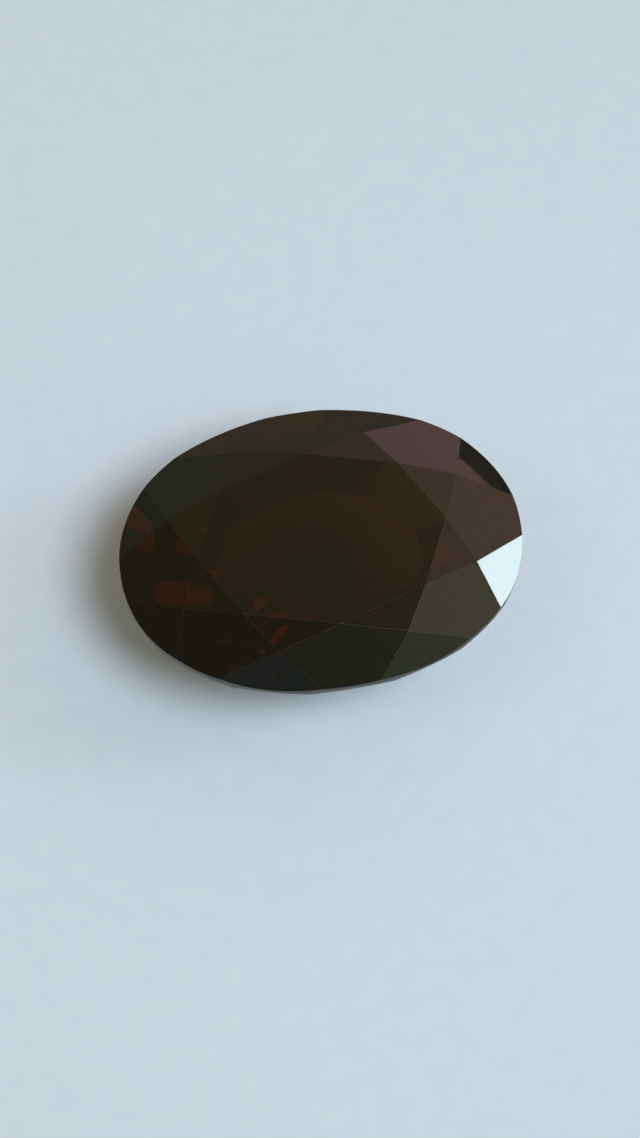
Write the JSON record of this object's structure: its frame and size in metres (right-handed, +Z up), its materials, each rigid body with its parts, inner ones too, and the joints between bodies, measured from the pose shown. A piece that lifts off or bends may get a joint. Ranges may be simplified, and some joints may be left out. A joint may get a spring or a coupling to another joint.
{
  "type": "faceted almandine garnet",
  "caption": "Oval cut garnet, dark brownish red, with a brilliant-cut crown over a step-cut pavilion that ends in a small flat culet.",
  "frame": {"origin": "middle of the culet, the small flat at the very bottom that the stone rests on", "axes": "+X along the stone's length, +Y across its width, +Z up through the middle of the table"},
  "size_m": [0.022, 0.0162, 0.0094],
  "materials": {
    "garnet": "polished, dark brownish-red see-through crystal"
  },
  "bodies": {
    "root": {"garnet": "garnet"}
  },
  "joints": []
}
